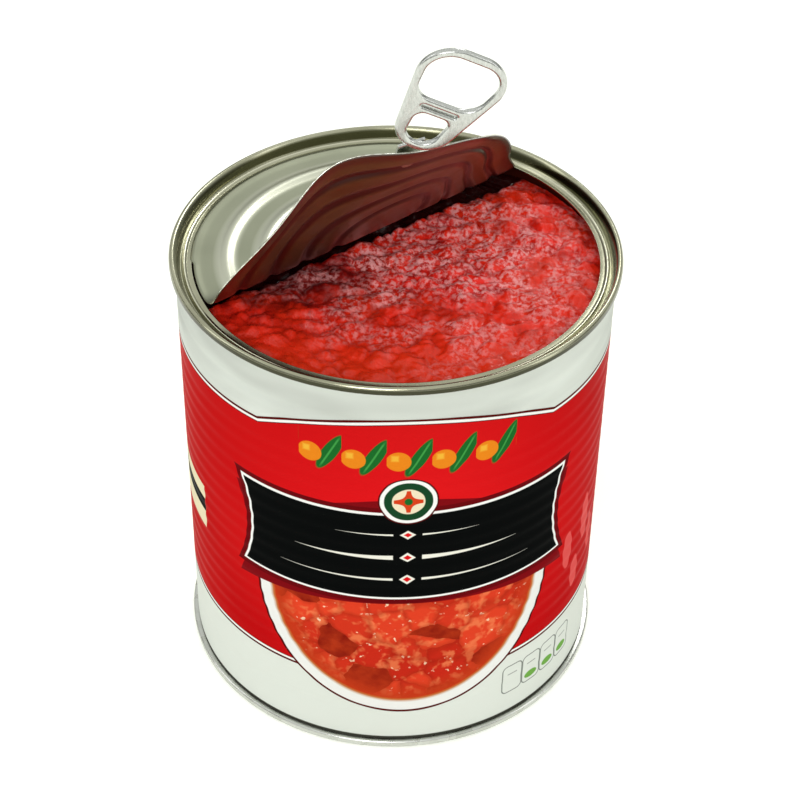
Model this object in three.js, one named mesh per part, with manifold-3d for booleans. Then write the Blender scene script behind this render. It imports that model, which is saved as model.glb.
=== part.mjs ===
// A catering tin of chopped tomatoes with its ring-pull lid peeled half open.
// Millimetres, +Z up, the front of the printed wall faces -Y, the tin stands on z = 0.
import * as THREE from 'three';
import { mergeVertices } from 'three/addons/utils/BufferGeometryUtils.js';
import Module from 'manifold-3d';

const wasm = await Module();
wasm.setup();

// Sizes of the tin
const SEAM_R = 78.5;
const SEAM_IN_R = 76.3;
const SEAM_HEIGHT = 3.1;
const TIN_HEIGHT = 172;
const WALL_R = 76.6;
const WALL_IN_R = 75.2;
const NECK_IN_R = 75.8;
const GAP = 0.3;
const ROUND = 48;

// Pressed ribs of the wall
const RIB_COUNT = 16;
const RIB_PITCH = 6.1;
const RIB_LOW_Z = 44;
const RIB_DEPTH = 0.6;

// The ring that stays seamed on, and the peeled panel
const CUT_R = 70.7;
const PANEL_R = 70.1;
const PANEL_TUCK_R = 71.3;
const PANEL_Z = 167.9;
const PANEL_THICK = 0.8;
const PANEL_BEADS = [20, 33, 46, 59];
const BEAD_STEP = 6.5;
const BEAD_HEIGHT = 0.45;

// How the panel is bent: it lies flat behind the fold and stands up in front of it
const FOLD_TURN = THREE.MathUtils.degToRad(35.4);
const FOLD_V = -21.5;
const FOLD_R = 14;
const FLAP_TILT = 54;
const FLAP_CURL = 9;
const FLAP_CURL_U = -43.5;
const FLAP_CURL_WIDTH = 18;
const FLAP_TWIST = 3.5;
const FLAP_SHORTER = 0.25;
const FLAP_PULL_IN = 14.8;
const JOINED_ARC = THREE.MathUtils.degToRad(55);

// The pull tab
const TAB_LENGTH = 43;
const TAB_WIDTH = 29;
const TAB_THICK = 2.4;
const TAB_CORNER_R = 11.5;
const TAB_NOSE_R = 9.8;
const TAB_NOSE = new THREE.Vector3(1.75, -34.8, 235.6);
const TAB_TIP = THREE.MathUtils.degToRad(26.1);
const TAB_LEAN = THREE.MathUtils.degToRad(14.7);
const TAB_TURN = THREE.MathUtils.degToRad(4.2);
const RIVET_U = -17;
const RIVET_INSET = 9;
const STRAP_WIDTH = 9;
const STRAP_THICK = 0.9;

// The contents
const FOOD_R = 74.9;
const FOOD_LOW_Z = 5.3;
const FOOD_TOP_Z = 160.5;
const CHUNKS = 42;

const vec = (x, y, z) => new THREE.Vector3(x, y, z);
const smooth = (t) => THREE.MathUtils.smoothstep(t, 0, 1);

// Turns a closed three.js geometry into a solid, with its faces pointing out.
function solid(geometry) {
  const bare = geometry.index ? geometry.toNonIndexed() : geometry.clone();
  bare.deleteAttribute('normal');
  bare.deleteAttribute('uv');
  const joined = mergeVertices(bare, 1e-4);
  const place = joined.attributes.position;
  const index = joined.index.array;
  const tris = [];
  let volume = 0;
  for (let i = 0; i < index.length; i += 3) {
    const [a, b, c] = [index[i], index[i + 1], index[i + 2]];
    if (a === b || b === c || a === c) continue;
    const pa = new THREE.Vector3().fromBufferAttribute(place, a);
    const pb = new THREE.Vector3().fromBufferAttribute(place, b);
    const pc = new THREE.Vector3().fromBufferAttribute(place, c);
    volume += pa.dot(pb.cross(pc));
    tris.push([a, b, c]);
  }
  const triVerts = new Uint32Array(tris.length * 3);
  tris.forEach((t, i) => triVerts.set(volume > 0 ? t : [t[0], t[2], t[1]], i * 3));
  const vertProperties = new Float32Array(place.array);
  return new wasm.Manifold(new wasm.Mesh({ numProp: 3, vertProperties, triVerts }));
}

// Turns a solid back into a named three.js mesh.
function mesh(name, body, colour, metalness, roughness) {
  const out = body.getMesh();
  const geometry = new THREE.BufferGeometry();
  geometry.setAttribute('position', new THREE.BufferAttribute(new Float32Array(out.vertProperties), 3));
  geometry.setIndex(new THREE.BufferAttribute(new Uint32Array(out.triVerts), 1));
  geometry.computeVertexNormals();
  const material = new THREE.MeshStandardMaterial({ color: colour, metalness, roughness });
  material.name = name;
  const made = new THREE.Mesh(geometry, material);
  made.name = name;
  return made;
}

// Turns a profile of radius and height round the upright axis.
function turned(profile, sides = ROUND) {
  const geometry = new THREE.LatheGeometry(profile.map(([r, z]) => new THREE.Vector2(r, z)), sides);
  return geometry.rotateX(Math.PI / 2);
}

// Printed wall
// The outside carries the pressed ribs, the inside is plain and opens a little at both ends.
const wall = [];
wall.push([NECK_IN_R, SEAM_HEIGHT + GAP]);
wall.push([WALL_R, SEAM_HEIGHT + GAP]);
for (let i = 0; i < RIB_COUNT; i += 1) {
  const z = RIB_LOW_Z + i * RIB_PITCH;
  wall.push([WALL_R, z - RIB_PITCH / 2]);
  wall.push([WALL_R - RIB_DEPTH, z]);
}
const ribTop = RIB_LOW_Z + (RIB_COUNT - 0.5) * RIB_PITCH;
wall.push([WALL_R, ribTop]);
wall.push([WALL_R, 154]);
wall.push([WALL_R - 0.3, 156.5]);
wall.push([WALL_R, 159]);
wall.push([WALL_R, TIN_HEIGHT - SEAM_HEIGHT - GAP]);
wall.push([NECK_IN_R, TIN_HEIGHT - SEAM_HEIGHT - GAP]);
wall.push([NECK_IN_R, 163]);
wall.push([WALL_IN_R, 159]);
wall.push([WALL_IN_R, 9]);
wall.push([NECK_IN_R, 6]);
wall.push(wall[0]);
const canBody = solid(turned(wall));

// Bottom end
// A double seam with a recessed panel inside it, closed on the axis at both faces.
const bottom = [
  [0, 4.1],
  [72.5, 4.1],
  [73.8, 3.4],
  [75.4, 4.1],
  [75.4, SEAM_HEIGHT],
  [SEAM_R - 0.4, SEAM_HEIGHT],
  [SEAM_R, SEAM_HEIGHT - 0.6],
  [SEAM_R, 0.7],
  [SEAM_R - 0.7, 0],
  [SEAM_IN_R + 0.5, 0],
  [SEAM_IN_R, 0.7],
  [75.2, 2.3],
  [73.4, 2.3],
  [72.2, 3.1],
  [61, 3.1],
  [58.5, 2.3],
  [56, 3.1],
  [0, 3.1],
];
const bottomEnd = solid(turned(bottom));

// Top ring
// Double seam, wall down to the countersink, a stiffening ridge, and the cut edge of the score.
const top = TIN_HEIGHT;
const ring = [
  [SEAM_R - 0.3, top - SEAM_HEIGHT],
  [SEAM_R, top - SEAM_HEIGHT + 0.5],
  [SEAM_R, top - 0.8],
  [SEAM_R - 0.5, top - 0.2],
  [SEAM_R - 1.1, top],
  [SEAM_IN_R + 0.4, top - 0.2],
  [SEAM_IN_R, top - 0.9],
  [75.0, 168.1],
  [74.5, 167.6],
  [73.5, 168.7],
  [72.4, 168.0],
  [71.4, 168.3],
  [CUT_R, 168.3],
  [CUT_R, 167.5],
  [72.6, 167.1],
  [73.5, 167.6],
  [74.2, 166.6],
  [75.0, 166.5],
  [75.5, 167.2],
  [75.5, top - SEAM_HEIGHT],
];
ring.push(ring[0]);
const topRing = solid(turned(ring));

// Directions of the fold line, and of the side the panel was peeled from
const alongFold = vec(Math.cos(FOLD_TURN), Math.sin(FOLD_TURN), 0);
const acrossFold = vec(Math.sin(FOLD_TURN), -Math.cos(FOLD_TURN), 0);

// Middle surface of the panel: u runs along the fold and v across it, measured on the flat lid.
function panelPoint(u, v) {
  const curl = FLAP_CURL * Math.exp(-(((u - FLAP_CURL_U) / FLAP_CURL_WIDTH) ** 2));
  const tilt = THREE.MathUtils.degToRad(FLAP_TILT + curl + FLAP_TWIST * smooth((u - 10) / 50));
  const shorter = 1 - FLAP_SHORTER * smooth((u + 45) / 93);
  const run = Math.max(v - FOLD_V, 0) * shorter;
  const side = u - FLAP_PULL_IN * smooth((u - 5) / 60) * smooth(run / 30);
  const bend = Math.min(run, FOLD_R * tilt) / FOLD_R;
  const straight = Math.max(run - FOLD_R * tilt, 0);
  const across = Math.min(v, FOLD_V) + FOLD_R * Math.sin(bend) + straight * Math.cos(tilt);
  const rise = FOLD_R * (1 - Math.cos(bend)) + straight * Math.sin(tilt);
  const point = alongFold.clone().multiplyScalar(side);
  point.addScaledVector(acrossFold, across);
  point.z = PANEL_Z + rise;
  return point;
}

// Local directions of the panel: along the fold, up the flap, and out of its upper face.
function panelFrame(u, v) {
  const origin = panelPoint(u, v);
  const side = panelPoint(u + 0.5, v).sub(panelPoint(u - 0.5, v)).normalize();
  const up = panelPoint(u, v + 0.5).sub(panelPoint(u, v - 0.5)).normalize();
  const out = side.clone().cross(up).negate();
  out.normalize();
  if (v < FOLD_V && out.z < 0) out.negate();
  return { origin, side, up, out };
}

// Height of the pressed rings of the panel at radius r
function beadHeight(r) {
  const low = PANEL_BEADS[0] - BEAD_STEP;
  const high = PANEL_BEADS[PANEL_BEADS.length - 1] + BEAD_STEP;
  if (r <= low || r >= high) return 0;
  return BEAD_HEIGHT * Math.sin((Math.PI * (r - low)) / (2 * BEAD_STEP)) ** 2;
}

// Peeled panel
// A flat beaded disc is turned first, then every point of it is carried onto the bent surface.
const radii = [0, 13.5, 20, 26.5, 33, 39.5, 46, 52.5, 59, 65.5, PANEL_R];
const discProfile = [];
for (const r of radii) discProfile.push([r, PANEL_THICK / 2]);
for (const r of [...radii].reverse()) discProfile.push([r, -PANEL_THICK / 2]);
const disc = turned(discProfile);
const discPlace = disc.attributes.position;
for (let i = 0; i < discPlace.count; i += 1) {
  const x = discPlace.getX(i);
  const y = discPlace.getY(i);
  const face = discPlace.getZ(i);
  const flat = Math.hypot(x, y);
  const angle = Math.atan2(x, y);
  const joined = Math.PI - Math.abs(angle) < JOINED_ARC && flat > PANEL_R - 1;
  const r = joined ? PANEL_TUCK_R : flat;
  const u = r * Math.sin(angle);
  const v = r * Math.cos(angle);
  const at = panelFrame(u, v);
  at.origin.addScaledVector(at.out, face + beadHeight(flat));
  discPlace.setXYZ(i, at.origin.x, at.origin.y, at.origin.z);
}
const panel = solid(disc);

// Rivet, pressed out of the panel itself
const rivetAt = panelFrame(RIVET_U, Math.sqrt(PANEL_R ** 2 - RIVET_U ** 2) - RIVET_INSET);
const rivetGeometry = turned([
  [0, -0.6],
  [2.1, -0.6],
  [2.1, 3.1],
  [3.7, 3.1],
  [3.5, 3.7],
  [2.2, 4.1],
  [0, 4.2],
], 12);
const towardNose = TAB_NOSE.clone().sub(rivetAt.origin);
const strapUp = towardNose.clone().projectOnPlane(rivetAt.out).normalize();
const strapSide = strapUp.clone().cross(rivetAt.out);
const rivetPlace = new THREE.Matrix4().makeBasis(strapSide, strapUp, rivetAt.out);
rivetPlace.setPosition(rivetAt.origin);
rivetGeometry.applyMatrix4(rivetPlace);
const topEnd = topRing.add(panel).add(solid(rivetGeometry));

// Outline of the tab: a band round three circles, two at the wide end and one at the nose
function roundedOutline(circles, steps) {
  const points = [];
  for (let i = 0; i < steps; i += 1) {
    const angle = (2 * Math.PI * i) / steps;
    const dx = Math.cos(angle);
    const dy = Math.sin(angle);
    let best = null;
    let reach = -Infinity;
    for (const [x, y, r] of circles) {
      const here = x * dx + y * dy + r;
      if (here > reach) {
        reach = here;
        best = new THREE.Vector2(x + r * dx, y + r * dy);
      }
    }
    points.push(best);
  }
  return points;
}

const cornerX = TAB_WIDTH / 2 - TAB_CORNER_R;
const cornerY = TAB_LENGTH - TAB_CORNER_R;
const outline = roundedOutline([
  [-cornerX, cornerY, TAB_CORNER_R],
  [cornerX, cornerY, TAB_CORNER_R],
  [0, TAB_NOSE_R, TAB_NOSE_R],
], 28);
const fingerHole = roundedOutline([
  [-cornerX - 1, cornerY + 0.5, 8],
  [cornerX + 1, cornerY + 0.5, 8],
  [-cornerX - 1.5, cornerY - 4, 6.8],
  [cornerX + 1.5, cornerY - 4, 6.8],
], 24);
const noseHole = roundedOutline([
  [-2.6, TAB_NOSE_R + 2.2, 3.2],
  [2.6, TAB_NOSE_R + 2.2, 3.2],
  [0, TAB_NOSE_R - 1.6, 5.4],
], 18);
const tabShape = new THREE.Shape(outline);
tabShape.holes.push(new THREE.Path(fingerHole));
tabShape.holes.push(new THREE.Path(noseHole));
const tabGeometry = new THREE.ExtrudeGeometry(tabShape, {
  depth: TAB_THICK - 1.4,
  bevelEnabled: true,
  bevelThickness: 0.7,
  bevelSize: 0.7,
  bevelOffset: -0.7,
  bevelSegments: 1,
  curveSegments: 1,
});
tabGeometry.translate(0, 0, -(TAB_THICK - 1.4) / 2);

// Place of the tab: it stands up behind the free edge, tipped to the right and leaned to the front.
const turn = new THREE.Matrix4().makeRotationZ(TAB_TURN);
const tabSide = new THREE.Vector3(Math.cos(TAB_TIP), 0, -Math.sin(TAB_TIP)).applyMatrix4(turn);
const tabUp = new THREE.Vector3(Math.sin(TAB_TIP), 0, Math.cos(TAB_TIP)).applyMatrix4(turn);
tabUp.applyAxisAngle(tabSide, TAB_LEAN);
const tabPlace = new THREE.Matrix4().makeBasis(tabSide, tabUp, tabSide.clone().cross(tabUp));
tabPlace.setPosition(TAB_NOSE);
tabGeometry.applyMatrix4(tabPlace);

// Strap that holds the tab under the rivet head
const strapLength = towardNose.length() + 6.5;
const strapGeometry = new THREE.BoxGeometry(STRAP_WIDTH, strapLength, STRAP_THICK);
const strapHole = turned([[0, -4], [2.5, -4], [2.5, 4], [0, 4]], 16);
const strapPlace = rivetPlace.clone();
const strapMiddle = rivetAt.origin.clone();
strapMiddle.addScaledVector(rivetAt.out, 2.4);
strapMiddle.addScaledVector(strapUp, strapLength / 2 - 4.5);
strapPlace.setPosition(strapMiddle);
strapGeometry.applyMatrix4(strapPlace);
strapHole.applyMatrix4(rivetPlace.clone().setPosition(rivetAt.origin));
const strap = solid(strapGeometry).subtract(solid(strapHole));
const pullTab = solid(tabGeometry).add(strap);

// Chopped tomatoes
// A filled core with a wavy top, and coarse pieces fused onto it.
let seed = 20261;
function random() {
  seed = (seed * 1664525 + 1013904223) % 4294967296;
  return seed / 4294967296;
}
const foodRadii = [0, 9, 18, 27, 36, 45, 54, 63, 71, FOOD_R];
const foodProfile = [[0, FOOD_LOW_Z], [FOOD_R, FOOD_LOW_Z]];
for (const r of [...foodRadii].reverse()) foodProfile.push([r, FOOD_TOP_Z]);
const food = turned(foodProfile, 40);
const foodPlace = food.attributes.position;
for (let i = 0; i < foodPlace.count; i += 1) {
  const x = foodPlace.getX(i);
  const y = foodPlace.getY(i);
  if (foodPlace.getZ(i) < FOOD_TOP_Z - 1 || Math.hypot(x, y) > FOOD_R - 1) continue;
  const wave = Math.sin(x * 0.17 + 1.1) * Math.cos(y * 0.21 - 0.4) + 0.6 * Math.sin(x * 0.33 - y * 0.27);
  foodPlace.setZ(i, FOOD_TOP_Z + 0.9 + 0.8 * wave);
}
let chopped = solid(food);
for (let i = 0; i < CHUNKS; i += 1) {
  const angle = i * 2.39996;
  const r = 66 * Math.sqrt((i + 0.5) / CHUNKS);
  const size = 7 + 4 * random();
  const piece = new THREE.IcosahedronGeometry(size, 0);
  piece.scale(1, 0.75 + 0.3 * random(), 0.5);
  piece.rotateZ(random() * Math.PI);
  const high = FOOD_TOP_Z - 0.6 + 1.8 * random();
  piece.translate(r * Math.cos(angle), r * Math.sin(angle), high);
  chopped = chopped.add(solid(piece));
}

const part = new THREE.Group();
part.name = 'opened_tomato_tin';
part.add(mesh('can_body', canBody, 0xc2202a, 0.2, 0.35));
part.add(mesh('bottom_end', bottomEnd, 0xb9bcae, 0.8, 0.3));
part.add(mesh('top_end', topEnd, 0xbfc0a0, 0.8, 0.3));
part.add(mesh('pull_tab', pullTab, 0xd0d2d0, 0.9, 0.25));
part.add(mesh('chopped_tomatoes', chopped, 0xc22a18, 0.0, 0.3));

export default part;
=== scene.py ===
# %% [markdown]
# # An opened tin of chopped tomatoes
# The tin is a printed steel cylinder with seamed ends. Its top panel is peeled half open and stands
# up behind the tomatoes, with the pull tab still riveted to its edge. Each cell below makes one piece
# or one finish, first in words and then in code.
# The measured frame is loaded first, because every piece must end up in the place that it gives.

import math

import bmesh
import bpy
from mathutils import Matrix, Vector, noise


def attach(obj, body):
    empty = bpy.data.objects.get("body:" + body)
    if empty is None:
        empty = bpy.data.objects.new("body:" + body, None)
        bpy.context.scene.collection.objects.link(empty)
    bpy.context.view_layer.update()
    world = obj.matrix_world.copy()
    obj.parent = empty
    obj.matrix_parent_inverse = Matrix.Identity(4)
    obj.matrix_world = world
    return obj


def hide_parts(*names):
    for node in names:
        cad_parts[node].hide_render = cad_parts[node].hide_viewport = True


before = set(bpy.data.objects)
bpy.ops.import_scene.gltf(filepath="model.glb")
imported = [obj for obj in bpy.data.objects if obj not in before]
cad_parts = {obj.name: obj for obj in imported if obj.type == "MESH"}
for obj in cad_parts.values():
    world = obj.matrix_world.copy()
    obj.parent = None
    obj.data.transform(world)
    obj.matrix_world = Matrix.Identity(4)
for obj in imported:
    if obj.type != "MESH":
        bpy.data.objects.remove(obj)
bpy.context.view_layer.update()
MM = 0.001

# %% [markdown]
# ## The camera
# The picture was taken from above, with the rims of the tin as two ellipses. Their sizes give the
# height, distance and lens of the camera. A camera could also be aimed with a tracking constraint,
# but plain numbers keep it still in every view. The Standard view shows a surface colour as it is
# written, so that a saturated printing ink stays saturated.

# %% Camera
CAMERA_HEIGHT_ANGLE = math.radians(39.72)
CAMERA_TURN = math.radians(-4.3)
CAMERA_ROLL = math.radians(0.986)
CAMERA_DISTANCE = 755.75 * MM
AIM_HEIGHT = 80 * MM
EYE_RIGHT = 2.2436
EYE_UP = 17.2477
SENSOR = 36.0
FOCAL_PIXELS = 2014.46
PICTURE_PIXELS = 800
LENS = FOCAL_PIXELS / PICTURE_PIXELS * SENSOR

back = Vector((0, -math.cos(CAMERA_HEIGHT_ANGLE), math.sin(CAMERA_HEIGHT_ANGLE)))
up = Vector((0, math.sin(CAMERA_HEIGHT_ANGLE), math.cos(CAMERA_HEIGHT_ANGLE)))
right = Vector((1, 0, 0))
eye = Vector((0, 0, AIM_HEIGHT)) + back * CAMERA_DISTANCE + right * EYE_RIGHT * MM + up * EYE_UP * MM
tilted_right = right * math.cos(CAMERA_ROLL) + up * math.sin(CAMERA_ROLL)
tilted_up = up * math.cos(CAMERA_ROLL) - right * math.sin(CAMERA_ROLL)
look = Matrix((tilted_right, tilted_up, back)).transposed().to_4x4()
look.translation = eye

camera_data = bpy.data.cameras.new("camera")
camera_data.lens = LENS
camera_data.sensor_width = SENSOR
camera_data.sensor_fit = "HORIZONTAL"
camera = bpy.data.objects.new("camera", camera_data)
camera.matrix_world = Matrix.Rotation(CAMERA_TURN, 4, "Z") @ look
bpy.context.scene.collection.objects.link(camera)
bpy.context.scene.camera = camera
bpy.context.scene.view_settings.view_transform = "Standard"
print("lens in mm:", round(LENS, 2))

# %% [markdown]
# ## Sheet sizes
# A tin is described by a few sizes: the radius across the seams, the height, the radius of the wall,
# and where its pressed ribs start. The later profiles are written with them.

# %% Sizes of the tin, in millimetres
SEAM_R = 78.5
SEAM_IN_R = 76.3
SEAM_HEIGHT = 3.1
TIN_HEIGHT = 172.0
WALL_R = 76.6
WALL_IN_R = 75.2
NECK_IN_R = 75.8
RIB_COUNT = 16
RIB_PITCH = 6.1
RIB_LOW_Z = 44.0
RIB_DEPTH = 0.28
CUT_R = 70.7
print("height over radius:", round(TIN_HEIGHT / SEAM_R, 3))

# %% [markdown]
# ## Turned pieces
# A wall, a seam and an end are all round, so each is a profile that is spun about the upright axis.
# A screw modifier would do the same, but bmesh spin gives a real mesh at once. The seam where the
# spin closes is merged, and the faces are then turned outwards.


# %% A helper that spins a profile
def finish_piece(name, bm, smooth_angle=35):
    mesh = bpy.data.meshes.new(name)
    bm.to_mesh(mesh)
    bm.free()
    mesh.shade_smooth()
    mesh.set_sharp_from_angle(angle=math.radians(smooth_angle))
    piece = bpy.data.objects.new(name, mesh)
    bpy.context.scene.collection.objects.link(piece)
    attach(piece, "root")
    print(name, "has", len(mesh.polygons), "faces")
    return piece


def spun(profile, steps, closed=True):
    bm = bmesh.new()
    points = [bm.verts.new((r * MM, 0, z * MM)) for r, z in profile]
    for first, second in zip(points, points[1:]):
        bm.edges.new((first, second))
    if closed:
        bm.edges.new((points[-1], points[0]))
    bmesh.ops.spin(bm, geom=bm.verts[:] + bm.edges[:], cent=(0, 0, 0), axis=(0, 0, 1),
                   dvec=(0, 0, 0), angle=math.tau, steps=steps, use_merge=True)
    bmesh.ops.remove_doubles(bm, verts=bm.verts[:], dist=0.002 * MM)
    bmesh.ops.recalc_face_normals(bm, faces=bm.faces[:])
    return bm


# %% [markdown]
# ## The wall
# Rings are rolled into the wall of a large tin, so that it doesn't buckle in the cooker. They are
# soft waves and not steps, so each rib gets several points of a cosine. Two shallow single rings lie
# above them, and two near the foot.

# %% Ribbed wall
RIB_POINTS = 8
SINGLE_RINGS = ((156.5, 0.3), (150.0, 0.15), (31.0, 0.12), (19.5, 0.15))
SINGLE_RING_HALF = 2.5


def wall_radius(z):
    low = RIB_LOW_Z - RIB_PITCH / 2
    high = RIB_LOW_Z + (RIB_COUNT - 0.5) * RIB_PITCH
    if low < z < high:
        return WALL_R - RIB_DEPTH * 0.5 * (1 - math.cos(math.tau * (z - low) / RIB_PITCH))
    for centre, depth in SINGLE_RINGS:
        if abs(z - centre) < SINGLE_RING_HALF:
            return WALL_R - depth * 0.5 * (1 + math.cos(math.pi * (z - centre) / SINGLE_RING_HALF))
    return WALL_R


wall_low = SEAM_HEIGHT + 0.1
wall_high = TIN_HEIGHT - SEAM_HEIGHT - 0.1
wall_steps = round((wall_high - wall_low) / (RIB_PITCH / RIB_POINTS))
outside = []
for i in range(wall_steps + 1):
    z = wall_low + (wall_high - wall_low) * i / wall_steps
    outside.append((wall_radius(z), z))
inside = [(NECK_IN_R, wall_high), (NECK_IN_R, 163), (WALL_IN_R, 159), (WALL_IN_R, 9),
          (NECK_IN_R, wall_low)]
printed_wall = finish_piece("printed_wall", spun(outside + inside, 192))
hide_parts("can_body")

# %% [markdown]
# ## The seams and the bottom
# Both ends are folded together with the wall into a double seam. From outside that is a smooth
# round-edged band. The corners of the profile are given as points, and a Bevel modifier rounds them,
# which is quicker to change than points along each arc.


# %% Seamed rings
def rounded(piece, width, segments=3, angle=20):
    bevel = piece.modifiers.new("rounded", "BEVEL")
    bevel.width = width * MM
    bevel.segments = segments
    bevel.limit_method = "ANGLE"
    bevel.angle_limit = math.radians(angle)
    return piece


top = TIN_HEIGHT
ring_profile = [
    (SEAM_R - 0.5, top - SEAM_HEIGHT), (SEAM_R, top - SEAM_HEIGHT + 0.5), (SEAM_R, top - 0.9),
    (SEAM_R - 0.4, top - 0.25), (SEAM_R - 1.1, top), (SEAM_IN_R + 0.5, top - 0.15),
    (SEAM_IN_R, top - 0.8), (75.7, 169.9), (75.1, 168.2), (74.5, 167.6), (74.1, 167.9), (73.5, 168.75),
    (73.0, 168.6), (72.4, 168.0), (71.5, 168.15), (CUT_R + 0.1, 168.35), (CUT_R, 168.0),
    (CUT_R + 0.1, 167.6), (72.6, 167.1), (73.5, 167.7), (74.2, 166.7), (75.0, 166.6), (75.5, 167.3),
    (75.5, top - SEAM_HEIGHT),
]
top_ring = rounded(finish_piece("top_ring", spun(ring_profile, 192), 50), 0.18)
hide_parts("top_end")

bottom_profile = [
    (0, 4.1), (72.5, 4.1), (73.8, 3.4), (75.4, 4.1), (75.4, SEAM_HEIGHT), (SEAM_R - 0.5, SEAM_HEIGHT),
    (SEAM_R, SEAM_HEIGHT - 0.5), (SEAM_R, 0.7), (SEAM_R - 0.6, 0), (SEAM_IN_R + 0.5, 0),
    (SEAM_IN_R, 0.7), (75.0, 2.3), (73.4, 2.3), (72.2, 3.1), (61, 3.1), (59.5, 2.4), (57.5, 2.4),
    (56, 3.1), (34, 3.1), (32.5, 2.6), (30.5, 2.6), (29, 3.1), (0, 3.1),
]
bottom_end = rounded(finish_piece("bottom_end_plate", spun(bottom_profile, 192, closed=False), 50), 0.2)
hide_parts("bottom_end")

# %% [markdown]
# ## The peeled panel
# Sheet steel bends but doesn't stretch much. Behind the fold the panel still lies flat and is joined
# to the ring. In front of the fold it turns up in a tight curve and stands at about 55 degrees. It
# curls a little more on the left, and its right shoulder is drawn in. One function carries a point of
# the flat disc, u along the fold and v across it, onto that bent surface.

# %% Bent surface
PANEL_Z = 167.9
PANEL_R = 70.1
FOLD_TURN = math.radians(35.4)
FOLD_V = -21.5
FOLD_R = 14.0
FLAP_TILT = 54.0
FLAP_CURL = 9.0
FLAP_CURL_U = -43.5
FLAP_CURL_WIDTH = 18.0
FLAP_TWIST = 3.5
FLAP_SHORTER = 0.25
FLAP_PULL_IN = 14.8
JOINED_ARC = math.radians(55)
along_fold = Vector((math.cos(FOLD_TURN), math.sin(FOLD_TURN), 0))
across_fold = Vector((math.sin(FOLD_TURN), -math.cos(FOLD_TURN), 0))


def ease(t):
    t = min(max(t, 0.0), 1.0)
    return t * t * (3 - 2 * t)


def panel_point(u, v):
    curl = FLAP_CURL * math.exp(-(((u - FLAP_CURL_U) / FLAP_CURL_WIDTH) ** 2))
    tilt = math.radians(FLAP_TILT + curl + FLAP_TWIST * ease((u - 10) / 50))
    run = max(v - FOLD_V, 0) * (1 - FLAP_SHORTER * ease((u + 45) / 93))
    side = u - FLAP_PULL_IN * ease((u - 5) / 60) * ease(run / 30)
    bend = min(run, FOLD_R * tilt) / FOLD_R
    straight = max(run - FOLD_R * tilt, 0)
    across = min(v, FOLD_V) + FOLD_R * math.sin(bend) + straight * math.cos(tilt)
    rise = FOLD_R * (1 - math.cos(bend)) + straight * math.sin(tilt)
    return along_fold * side + across_fold * across + Vector((0, 0, PANEL_Z + rise))


def panel_frame(u, v):
    side = (panel_point(u + 0.5, v) - panel_point(u - 0.5, v)).normalized()
    rising = (panel_point(u, v + 0.5) - panel_point(u, v - 0.5)).normalized()
    outward = rising.cross(side).normalized()
    return panel_point(u, v), outward


print("highest point of the panel:", round(panel_point(-15, 68).z, 1), "mm")

# %% [markdown]
# Round beads are pressed into the panel. Seen from outside they are bright and dull rings, and from
# below they are the dark loops on the stained face. The disc is spun flat first, with rings close
# enough for the beads, and then every vertex is moved onto the bent surface. Where the panel is still
# joined, its edge is widened until it meets the ring, and slow noise gives the sheet faint dents.

# %% Beaded panel
PANEL_BEADS = (20.0, 33.0, 46.0, 59.0)
BEAD_STEP = 6.5
BEAD_HEIGHT = 0.9
PANEL_SHEET = 0.45
JOINED_R = 71.2
WIDENED_FROM = 68
DENT_SIZE = 0.030
DENT_DEPTH = 0.22


def bead_height(r):
    for centre in PANEL_BEADS:
        if abs(r - centre) < BEAD_STEP * 0.5:
            return BEAD_HEIGHT * 0.5 * (1 + math.cos(math.tau * (r - centre) / BEAD_STEP))
    if r > 67.5:
        return 0.3 * ease((r - 67.5) / 2.4)
    return 0.0


def on_panel(point):
    flat = math.hypot(point.x, point.y) / MM
    angle = math.atan2(point.x, point.y)
    joined = math.pi - abs(angle) < JOINED_ARC
    widened = flat
    if joined and flat > WIDENED_FROM:
        widened = flat + (JOINED_R - PANEL_R) * ease((flat - WIDENED_FROM) / 2)
    place, outward = panel_frame(widened * math.sin(angle), widened * math.cos(angle))
    dent = DENT_DEPTH * noise.noise(Vector((point.x / DENT_SIZE, point.y / DENT_SIZE, 0.3)))
    return (place + outward * (bead_height(flat) + dent)) * MM


panel_rings = 74
disc = spun([(PANEL_R * i / panel_rings, 0) for i in range(panel_rings + 1)], 256, closed=False)
flat_radius = disc.verts.layers.float.new("flat_radius")
fold_distance = disc.verts.layers.float.new("fold_distance")
for vertex in disc.verts:
    vertex[flat_radius] = math.hypot(vertex.co.x, vertex.co.y) / MM
    vertex[fold_distance] = vertex.co.y / MM - FOLD_V
    vertex.co = on_panel(vertex.co)
bmesh.ops.recalc_face_normals(disc, faces=disc.faces[:])
flat_spot = (across_fold * -50 + Vector((0, 0, PANEL_Z))) * MM
flat_face = min(disc.faces, key=lambda face: (face.calc_center_median() - flat_spot).length)
if flat_face.normal.z < 0:
    bmesh.ops.reverse_faces(disc, faces=disc.faces[:])
peeled_panel = finish_piece("peeled_panel", disc, 60)
sheet = peeled_panel.modifiers.new("sheet", "SOLIDIFY")
sheet.thickness = PANEL_SHEET * MM
sheet.offset = 0
sheet.material_offset = 1
sheet.material_offset_rim = 2
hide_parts("top_end")

# %% [markdown]
# ## The rivet and the pull tab
# The rivet is pressed out of the panel and holds a short strap of the tab. The tab is stamped from
# thicker steel, with its edges rolled, a large hole for the finger, a small one at the nose and a
# pressed slot between them. A flat curve with holes gets its thickness and rolled edges from the
# curve's own extrude and bevel, and becomes a mesh before it is put in place.

# %% Outline of the tab
TAB_LENGTH = 43.0
TAB_WIDTH = 29.0
TAB_THICK = 2.4
TAB_ROLL = 0.95
TAB_CORNER_R = 11.5
TAB_NOSE_R = 9.8
TAB_NOSE = Vector((1.8, -35.4, 234.8))
TAB_TIP = math.radians(26.1)
TAB_LEAN = math.radians(14.7)
TAB_TURN = math.radians(4.2)
SLOT_Y = 17.9


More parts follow.
